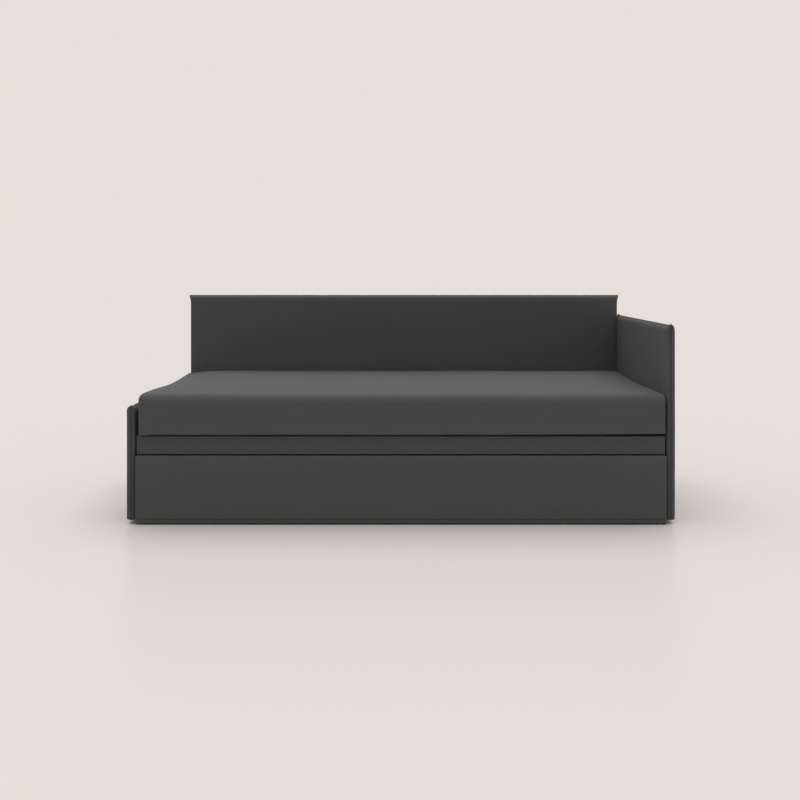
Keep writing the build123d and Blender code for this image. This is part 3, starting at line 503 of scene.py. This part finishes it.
def add_seam(made, length_axis, middle, path, ears):
    """Add the seam allowance that stands out along the rim, with its pointed corners."""
    half = SEAM_THICK / 2.0
    upper = [(-1.0, half), (0.4, half), (0.8, half * 0.8)]
    profile = upper + [(1.0, 0.0)] + [(out, -across) for out, across in reversed(upper)]
    rings = []
    for place, outward, reach in seam_stations(path):
        wobble = noise.noise(Vector((place.x * 60.0, place.y * 60.0, middle)))
        lean = 0.0005 * noise.noise(Vector((place.x * 25.0, place.y * 25.0, 4.0)))
        ring = []
        for out, across in profile:
            distance = -SEAM_ROOT if out < 0 else out * reach * (1.0 + 0.15 * wobble)
            point = place + outward * distance
            along, height = ear(point.x, point.y, *ears)
            co = Vector((0.0, 0.0, height))
            co[length_axis] = along
            co[1 - length_axis] = middle + across + lean
            ring.append(made.verts.new(co))
        rings.append(ring)
    for first, second in zip(rings, rings[1:]):
        for i in range(len(profile)):
            j = (i + 1) % len(profile)
            made.faces.new([first[i], first[j], second[j], second[i]])
    made.faces.new(rings[0])
    made.faces.new(rings[-1])


def dress_panel(node, body, *shape, **extras):
    """Replace a padded panel's cover with its sewn cloth cover."""
    mesh = padded_cover(node, *shape, **extras)
    piece = stand(f"{node}_cloth", mesh, CHARCOAL, body)
    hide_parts(node)
    return piece


ARMREST_ROUNDS = (0.008, 0.024, 0.004, 0.004)
SIDE_ROUNDS = (0.008, 0.018, 0.004, 0.004)
BACK_ROUNDS = (0.007, 0.013, 0.004, 0.004)
STRIP_ROUNDS = (0.005, 0.004, 0.003, 0.003)
FRONT_ROUNDS = (0.006, 0.002, 0.003, 0.006)
ARMREST_PULL = (0.003, 0.0055)
SIDE_PULL = (0.003, 0.004)
BACK_PULL = (0.0035, 0.0)
dress_panel("armrest_cover", "base", 1, (1, 1, 1), (0.0, OUTER_PUFF), ARMREST_ROUNDS, ARMREST_PULL)
dress_panel("low_side_cover", "base", 1, (1, 1, 1), (OUTER_PUFF, 0.0), SIDE_ROUNDS, SIDE_PULL)
dress_panel("back_cover", "base", 0, (1, 0, 1), (0.0012, 0.0012), BACK_ROUNDS, BACK_PULL)
dress_panel("border_strip_cover", "upper_bed", 0, (0, 0, 0), (-0.0045, 0.0), STRIP_ROUNDS)
dress_panel(
    "front_panel_cover", "lower_bed", 0, (0, 0, 0), (0.0015, 0.0), FRONT_ROUNDS,
    hem=FRONT_HEM + FRONT_DROP, drop=FRONT_DROP,
)


def block_lines(low, high, low_round, high_round, step):
    """Places of grid lines across a block, closer together where its edges are round."""
    near = [low + low_round * share for share in ROUND_SHARES]
    far = [high - high_round * share for share in reversed(ROUND_SHARES)]
    gap = far[0] - near[-1]
    count = max(1, round(gap / step))
    return near + [near[-1] + gap * i / count for i in range(1, count)] + far


def rounded(place, low, high, reaches, corner):
    """Move a point of a block's surface in to its round edges.

    reaches are the reach of the upper edges from each end and side, their reach down
    at the ends and at the sides, and the reach of the lower edges. corner is the radius
    of the upright edges.
    """
    *sides, drops, below = reaches
    upper = place.z > (low.z + high.z) / 2.0
    rims, out, reach = [], [], []
    for axis in range(2):
        far = place[axis] > (low[axis] + high[axis]) / 2.0
        reach.append(sides[axis][far] if upper else below)
        rims.append(high[axis] if far else -low[axis])
        out.append(max(((place[axis] if far else -place[axis]) - rims[axis]) / reach[axis] + 1.0, 0.0))
    weights = [out[0] ** 2 + 0.0001, out[1] ** 2 + 0.0001]
    above = (drops[0] * weights[0] + drops[1] * weights[1]) / sum(weights)
    steep = max((place.z - high.z) / above + 1.0 if upper else (low.z - place.z) / below + 1.0, 0.0)
    wide = max(out)
    shrink = max(wide, steep) / math.hypot(wide, steep) if wide > 0.0 and steep > 0.0 else 1.0
    result = Vector(place)
    if steep > 0.0:
        inward = 1.0 - steep * shrink
        result.z = high.z - above * inward if upper else low.z + below * inward
    flat = [0.0, 0.0]
    for axis in range(2):
        inward = reach[axis] * (1.0 - out[axis] * shrink)
        flat[axis] = rims[axis] - inward if out[axis] > 0.0 else abs(place[axis])
    over = [flat[axis] - (rims[axis] - reach[axis] * (1.0 - wide * shrink) - corner) for axis in range(2)]
    if wide > 0.0 and min(over) > 0.0:
        turn = max(over) / math.hypot(*over)
        flat = [flat[axis] - over[axis] * (1.0 - turn) for axis in range(2)]
    for axis in range(2):
        if out[axis] > 0.0 or (wide > 0.0 and min(over) > 0.0):
            result[axis] = math.copysign(flat[axis], place[axis])
    return result


def block_mesh(name, low, high, reaches, corner, step):
    """A closed block of foam with round edges."""
    made = bmesh.new()
    *sides, drops, below = reaches
    ends = [*sides, (below, max(drops))]
    lines = [block_lines(low[axis], high[axis], *ends[axis], step) for axis in range(3)]
    for axis in range(3):
        first, second = [other for other in range(3) if other != axis]
        for end in (low[axis], high[axis]):
            grid = {}
            for i, a in enumerate(lines[first]):
                for j, b in enumerate(lines[second]):
                    place = Vector((0.0, 0.0, 0.0))
                    place[axis], place[first], place[second] = end, a, b
                    grid[i, j] = made.verts.new(rounded(place, low, high, reaches, corner))
            for i in range(len(lines[first]) - 1):
                for j in range(len(lines[second]) - 1):
                    made.faces.new([grid[i, j], grid[i + 1, j], grid[i + 1, j + 1], grid[i, j + 1]])
    bmesh.ops.remove_doubles(made, verts=made.verts, dist=0.00001)
    bmesh.ops.recalc_face_normals(made, faces=made.faces)
    mesh = bpy.data.meshes.new(name)
    made.to_mesh(mesh)
    made.free()
    return mesh


def finished_mesh(worker):
    """The mesh that an object's modifiers give."""
    view = bpy.context.evaluated_depsgraph_get()
    return bpy.data.meshes.new_from_object(worker.evaluated_get(view), depsgraph=view)


def swelling(mesh, voxel, cap):
    """Let the filling press the cover out, and return where each point was and how far it moved."""
    worker = bpy.data.objects.new("swelling", mesh.copy())
    bpy.context.scene.collection.objects.link(worker)
    remesh = worker.modifiers.new("even", "REMESH")
    remesh.mode = "VOXEL"
    remesh.voxel_size = voxel
    even = finished_mesh(worker)
    worker.modifiers.clear()
    worker.data = even
    start = [vertex.co.copy() for vertex in even.vertices]
    cloth = worker.modifiers.new("cover", "CLOTH")
    cloth.settings.quality = 4
    cloth.settings.mass = 0.3
    cloth.settings.use_pressure = True
    cloth.settings.uniform_pressure_force = 4.0
    cloth.settings.effector_weights.gravity = 0.0
    cloth.collision_settings.use_collision = False
    cloth.point_cache.frame_start = 1
    cloth.point_cache.frame_end = SWELL_FRAMES
    for moment in range(1, SWELL_FRAMES + 1):
        bpy.context.scene.frame_set(moment)
    swelled = finished_mesh(worker)
    bpy.context.scene.frame_set(1)
    bpy.data.objects.remove(worker)
    moves = [vertex.co - origin for vertex, origin in zip(swelled.vertices, start)]
    return start, [move * (cap / (cap + move.length)) for move in moves]


def press_out(mesh, voxel, cap, shares):
    """Give a smooth block the swelling of its filling, in a share for each axis."""
    start, moves = swelling(mesh, voxel, cap)
    floor = min(point.z for point in start)
    tree = kdtree.KDTree(len(start))
    for index, point in enumerate(start):
        tree.insert(point, index)
    tree.balance()
    for vertex in mesh.vertices:
        total, weights = Vector((0.0, 0.0, 0.0)), 0.0
        for point, index, distance in tree.find_n(vertex.co, 8):
            weight = 1.0 / (distance + voxel / 4.0)
            total += moves[index] * weight
            weights += weight
        press = total / weights * Vector(shares)
        vertex.co += press * min(max((vertex.co.z - floor) / PRESS_FADE, 0.0), 1.0)


def fit_to_box(mesh, low, high):
    """Stretch a mesh slightly so that it fills a box."""
    points = [vertex.co.copy() for vertex in mesh.vertices]
    for axis in range(3):
        least = min(point[axis] for point in points)
        most = max(point[axis] for point in points)
        for vertex in mesh.vertices:
            share = (vertex.co[axis] - least) / (most - least)
            vertex.co[axis] = low[axis] + (high[axis] - low[axis]) * share


def shape_upper_mattress():
    """The foam mattress in its fitted charcoal cover."""
    low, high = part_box("upper_mattress")
    low.y -= MATTRESS_PROUD
    high.z += MATTRESS_CROWN
    mesh = block_mesh("upper_mattress_cloth", low, high, UPPER_REACHES, UPPER_CORNER, UPPER_STEP)
    press_out(mesh, SWELL_VOXEL, SWELL_CAP, SWELL_SHARES)
    fit_to_box(mesh, low, high)
    normals = [vertex.normal.copy() for vertex in mesh.vertices]
    for vertex, normal in zip(mesh.vertices, normals):
        place = vertex.co
        share_x = (place.x - low.x) / (high.x - low.x)
        share_y = (place.y - low.y) / (high.y - low.y)
        share_z = (place.z - low.z) / (high.z - low.z)
        wave = noise.noise(Vector((place.x * 3.1, place.y * 3.1, place.z * 3.1)))
        rumple = noise.noise(Vector((place.x * 11.0, place.y * 11.0, place.z * 11.0 + 5.0)))
        place += normal * (wave * 0.0015 + rumple * 0.0006) * min(share_z * 4.0, 1.0)
        dip_length = 0.30 if share_y < DIP_MIDDLE else 0.55
        left_dip = math.exp(-(((share_y - DIP_MIDDLE) / dip_length) ** 2) - ((place.x - low.x) / 0.07) ** 2)
        right_dip = math.exp(-(((share_y - 0.5) / 0.3) ** 2) - ((high.x - place.x) / 0.16) ** 2)
        place.z += (REAR_RISE * share_y ** 3 - LEFT_DIP * left_dip - RIGHT_DIP * right_dip) * share_z
        if share_y < LIFT_SHARES[0] and share_z < LIFT_SHARES[1]:
            lift = FRONT_LIFT * (1.0 - math.exp(-((share_x / 0.015) ** 2)) + share_x ** 6)
            lift += 0.001 * noise.noise(Vector((share_x * 14.0, 0.0, 2.0)))
            place.z += lift * (1.0 - share_z / LIFT_SHARES[1]) * (1.0 - share_y / LIFT_SHARES[0])
    return mesh


def shape_lower_mattress():
    """The pull-out bed's mattress, quilted in squares on top."""
    low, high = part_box("lower_mattress")
    mesh = block_mesh("lower_mattress_ticking", low, high, LOWER_REACHES, LOWER_CORNER, LOWER_STEP)
    columns, rows = QUILT_COUNTS
    for vertex in mesh.vertices:
        place = vertex.co
        share_x = (place.x - low.x) / (high.x - low.x)
        share_y = (place.y - low.y) / (high.y - low.y)
        on_top = soft_edge(place.z - (high.z - QUILT_FADE), QUILT_FADE, 2.0)
        rise_x = abs(math.sin(share_x * columns * math.pi))
        rise_y = abs(math.sin(share_y * rows * math.pi))
        pillow = rise_x ** 0.4 * rise_y ** 0.4
        place.z -= QUILT_DEPTH * (1.0 - pillow) * on_top
    return mesh


upper_shape = shape_upper_mattress()
upper_mattress = stand("upper_mattress_cloth", upper_shape, CHARCOAL, "upper_bed")
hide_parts("upper_mattress")
lower_shape = shape_lower_mattress()
lower_mattress = stand("lower_mattress_ticking", lower_shape, TICKING, "lower_bed")
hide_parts("lower_mattress")


def stitch_tree():
    """Geometry nodes that set stitches along a path."""
    tree = bpy.data.node_groups.new("stitch_row", "GeometryNodeTree")
    inputs = {}
    inputs["Path"] = tree.interface.new_socket("Path", in_out="INPUT", socket_type="NodeSocketGeometry")
    for label in ("Pitch", "Stitch length", "Thread radius"):
        inputs[label] = tree.interface.new_socket(label, in_out="INPUT", socket_type="NodeSocketFloat")
    inputs["Thread"] = tree.interface.new_socket("Thread", in_out="INPUT", socket_type="NodeSocketMaterial")
    tree.interface.new_socket("Stitches", in_out="OUTPUT", socket_type="NodeSocketGeometry")
    nodes, links = tree.nodes, tree.links
    given = nodes.new("NodeGroupInput")
    result = nodes.new("NodeGroupOutput")
    curve = nodes.new("GeometryNodeMeshToCurve")
    spots = nodes.new("GeometryNodeCurveToPoints")
    spots.mode = "LENGTH"
    stitch = nodes.new("GeometryNodeMeshUVSphere")
    stitch.inputs["Segments"].default_value = 6
    stitch.inputs["Rings"].default_value = 5
    size = nodes.new("ShaderNodeCombineXYZ")
    half = nodes.new("ShaderNodeMath")
    half.operation = "MULTIPLY"
    half.inputs[1].default_value = 0.5
    lay = nodes.new("GeometryNodeInstanceOnPoints")
    real = nodes.new("GeometryNodeRealizeInstances")
    coat = nodes.new("GeometryNodeSetMaterial")
    links.new(given.outputs["Path"], curve.inputs[0])
    links.new(curve.outputs[0], spots.inputs["Curve"])
    links.new(given.outputs["Pitch"], spots.inputs["Length"])
    links.new(given.outputs["Stitch length"], half.inputs[0])
    links.new(given.outputs["Thread radius"], size.inputs[0])
    links.new(given.outputs["Thread radius"], size.inputs[1])
    links.new(half.outputs[0], size.inputs[2])
    links.new(spots.outputs["Points"], lay.inputs["Points"])
    links.new(spots.outputs["Rotation"], lay.inputs["Rotation"])
    links.new(stitch.outputs["Mesh"], lay.inputs["Instance"])
    links.new(size.outputs[0], lay.inputs["Scale"])
    links.new(lay.outputs[0], real.inputs[0])
    links.new(real.outputs[0], coat.inputs["Geometry"])
    links.new(given.outputs["Thread"], coat.inputs["Material"])
    links.new(coat.outputs[0], result.inputs[0])
    return tree, {label: socket.identifier for label, socket in inputs.items()}


STITCHES, STITCH_INPUTS = stitch_tree()


def sew(name, paths, thread, body, pitch=0.0045, length=0.0034, radius=0.0004):
    """Sew rows of stitches along paths of points, as one piece."""
    points = [point for path in paths for point in path]
    edges = []
    first = 0
    for path in paths:
        edges += [(first + i, first + i + 1) for i in range(len(path) - 1)]
        first += len(path)
    line = bpy.data.meshes.new(f"{name}_path")
    line.from_pydata(points, edges, [])
    worker = bpy.data.objects.new(f"{name}_path", line)
    bpy.context.scene.collection.objects.link(worker)
    rows = worker.modifiers.new("rows", "NODES")
    rows.node_group = STITCHES
    rows[STITCH_INPUTS["Pitch"]] = pitch
    rows[STITCH_INPUTS["Stitch length"]] = length
    rows[STITCH_INPUTS["Thread radius"]] = radius
    rows[STITCH_INPUTS["Thread"]] = thread
    mesh = finished_mesh(worker)
    bpy.data.objects.remove(worker)
    return stand(name, mesh, thread, body)


panel_low, panel_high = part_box("front_panel_cover")
hem_z = panel_low.z + FRONT_HEM
hem_y = panel_low.y - STITCH_PROUD
hem_ends = (panel_low.x + STITCH_MARGIN, panel_high.x - STITCH_MARGIN)
sew("front_panel_hem", [[(x, hem_y, hem_z) for x in hem_ends]], SEWING, "lower_bed")


def piped_edge(name, node, z, body):
    """A round tape edge sewn along a mattress seam, as one closed tube."""
    low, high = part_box(node)
    line = bpy.data.curves.new(f"{name}_line", "CURVE")
    line.dimensions = "3D"
    line.bevel_depth = TAPE_RADIUS
    line.bevel_resolution = 3
    corner = LOWER_CORNER - TAPE_INSET
    points = []
    for quarter, (x, y) in enumerate(((high.x, high.y), (low.x, high.y), (low.x, low.y), (high.x, low.y))):
        centre_x = x - math.copysign(LOWER_CORNER, x)
        centre_y = y - (LOWER_CORNER if y == high.y else -LOWER_CORNER)
        for step in range(9):
            turn = (quarter + step / 8.0) * math.pi / 2.0
            points.append((centre_x + corner * math.cos(turn), centre_y + corner * math.sin(turn), z))
    spline = line.splines.new("POLY")
    spline.points.add(len(points) - 1)
    for point, place in zip(spline.points, points):
        point.co = (*place, 1.0)
    spline.use_cyclic_u = True
    worker = bpy.data.objects.new(f"{name}_line", line)
    bpy.context.scene.collection.objects.link(worker)
    mesh = finished_mesh(worker)
    bpy.data.objects.remove(worker)
    return stand(name, mesh, TAPE, body)


def quilt_rows():
    """Lines of the quilting on the pull-out mattress, down in its channels."""
    low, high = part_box("lower_mattress")
    z = high.z - QUILT_DEPTH + QUILT_PROUD
    columns, rows = QUILT_COUNTS
    paths = []
    for i in range(1, columns):
        x = low.x + (high.x - low.x) * i / columns
        paths.append([(x, low.y + QUILT_MARGIN, z), (x, high.y - QUILT_MARGIN, z)])
    for j in range(1, rows):
        y = low.y + (high.y - low.y) * j / rows
        paths.append([(low.x + QUILT_MARGIN, y, z), (high.x - QUILT_MARGIN, y, z)])
    return paths


mattress_low, mattress_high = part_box("lower_mattress")
tape_above = mattress_high.z - TAPE_FROM_TOP
tape_below = mattress_low.z + TAPE_FROM_BASE
piped_edge("mattress_tape_above", "lower_mattress", tape_above, "lower_bed")
piped_edge("mattress_tape_below", "lower_mattress", tape_below, "lower_bed")
sew("quilting", quilt_rows(), PALE_SEWING, "lower_bed", pitch=0.008, length=0.0058, radius=0.0005)


def add_floor():
    """A pale floor that keeps the shadow, faintly shiny, and fades into the background."""
    bpy.ops.mesh.primitive_plane_add(size=FLOOR_SIZE)
    floor = bpy.context.object
    floor.name = "floor"
    finish = Finish("pale_floor", FLOOR_ROUGHNESS)
    shade = [channel / (SKY_LEVEL + LAMP_LEVEL) for channel in PAPER]
    finish.shader.inputs["Base Color"].default_value = (*shade, 1.0)
    finish.shader.inputs["Specular IOR Level"].default_value = FLOOR_SHINE
    reach = finish.node("ShaderNodeVectorMath", {"operation": "LENGTH"}, {0: finish.place()}, 1)
    span = {0: reach, 1: FLOOR_FADE[0], 2: FLOOR_FADE[1], 3: 0.0, 4: 1.0}
    fade = finish.node("ShaderNodeMapRange", {}, span)
    glow = finish.node("ShaderNodeEmission", {}, {0: (*PAPER, 1.0), 1: 1.0})
    values = {0: fade, 1: Field(finish, finish.shader.outputs[0]), 2: glow}
    mixed = finish.node("ShaderNodeMixShader", {}, values)
    finish.links.new(mixed.socket, finish.nodes["Material Output"].inputs["Surface"])
    floor.data.materials.append(finish.material)


def add_light():
    """A soft studio sky, seen as plain paper, with one broad lamp above and in front."""
    world = bpy.data.worlds.new("studio")
    bpy.context.scene.world = world
    world.use_nodes = True
    nodes, links = world.node_tree.nodes, world.node_tree.links
    sky = nodes["Background"]
    sky.inputs["Color"].default_value = (1.0, 1.0, 1.0, 1.0)
    sky.inputs["Strength"].default_value = SKY_LEVEL
    paper = nodes.new("ShaderNodeBackground")
    paper.inputs["Color"].default_value = (*PAPER, 1.0)
    ray = nodes.new("ShaderNodeLightPath")
    seen = None
    for label in ("Is Camera Ray", "Is Glossy Ray", "Is Transmission Ray"):
        if seen is None:
            seen = ray.outputs[label]
            continue
        either = nodes.new("ShaderNodeMath")
        either.operation = "MAXIMUM"
        links.new(seen, either.inputs[0])
        links.new(ray.outputs[label], either.inputs[1])
        seen = either.outputs[0]
    mixed = nodes.new("ShaderNodeMixShader")
    links.new(seen, mixed.inputs[0])
    links.new(sky.outputs[0], mixed.inputs[1])
    links.new(paper.outputs[0], mixed.inputs[2])
    links.new(mixed.outputs[0], nodes["World Output"].inputs["Surface"])
    lamp = bpy.data.lights.new("broad_lamp", "SUN")
    lamp.angle = LAMP_SPREAD
    lamp.energy = LAMP_LEVEL * math.pi
    holder = bpy.data.objects.new("broad_lamp", lamp)
    holder.rotation_euler = (*LAMP_TILTS, 0.0)
    bpy.context.scene.collection.objects.link(holder)


def add_camera():
    """The photograph's level view, shifted down."""
    camera = bpy.data.cameras.new("camera")
    camera.sensor_width = SENSOR
    camera.lens = FRONT_SCALE * FRONT_DISTANCE * SENSOR / IMAGE_SIZE
    camera.shift_y = (HORIZON_ROW - IMAGE_SIZE / 2.0) / IMAGE_SIZE
    holder = bpy.data.objects.new("camera", camera)
    column_offset = (MIDDLE_COLUMN - IMAGE_SIZE / 2.0) / FRONT_SCALE
    side_front_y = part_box("armrest_cover")[0].y + SEAM_PROUD
    holder.location = (-column_offset, side_front_y - FRONT_DISTANCE, CAMERA_HEIGHT)
    holder.rotation_euler = (math.radians(90), 0.0, 0.0)
    bpy.context.scene.collection.objects.link(holder)
    bpy.context.scene.camera = holder


add_floor()
add_light()
add_camera()
bpy.context.scene.view_settings.view_transform = "Standard"
